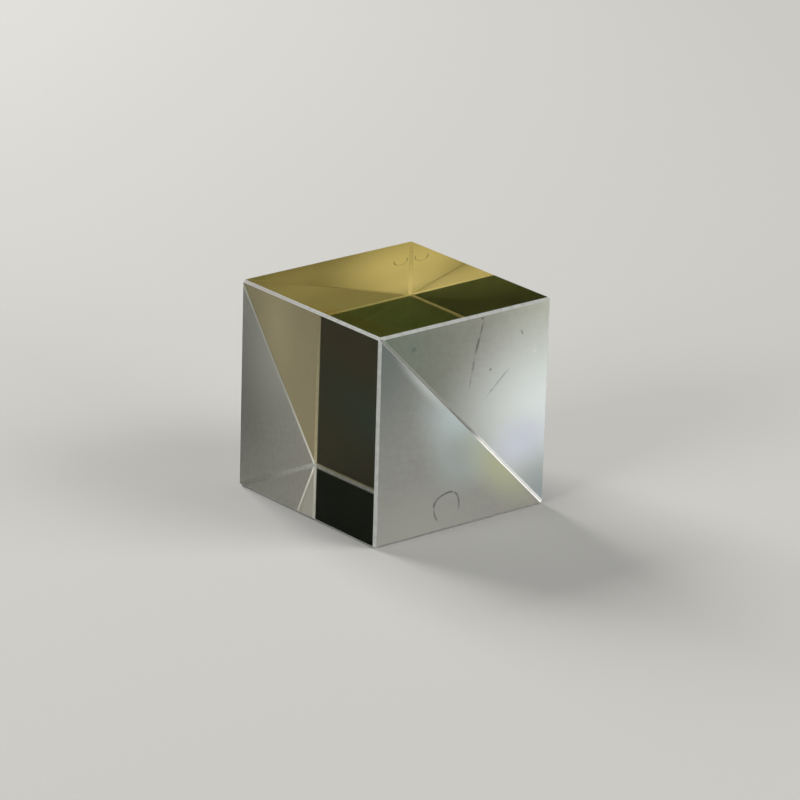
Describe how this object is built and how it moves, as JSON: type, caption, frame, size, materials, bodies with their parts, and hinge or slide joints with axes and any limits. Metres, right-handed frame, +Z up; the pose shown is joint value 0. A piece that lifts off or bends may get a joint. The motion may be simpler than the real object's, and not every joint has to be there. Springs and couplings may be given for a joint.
{
  "type": "polarizing beamsplitter cube",
  "caption": "Glass cube of two bevelled right-angle prisms cemented along a coated diagonal seam, which sends the two polarizations of a beam out through different faces.",
  "frame": {"origin": "middle of the base, which is a polished face of the lower prism", "axes": "+Z up from the base; +X towards the face where the transmitted beam leaves; +Y along the level edges of the seam, towards the rear ground face"},
  "size_m": [0.0254, 0.0254, 0.0254],
  "materials": {
    "prism_glass": "optical glass, polished on four faces, finely ground on the two end faces and the bevels",
    "dielectric_coating": "vacuum-deposited stack of clear oxide layers, warm in colour by transmitted light",
    "optical_cement": "clear cured optical cement"
  },
  "bodies": {
    "root": {"lower_prism": "prism_glass", "upper_prism": "prism_glass", "polarizing_coating": "dielectric_coating", "cement_layer": "optical_cement"}
  },
  "joints": []
}
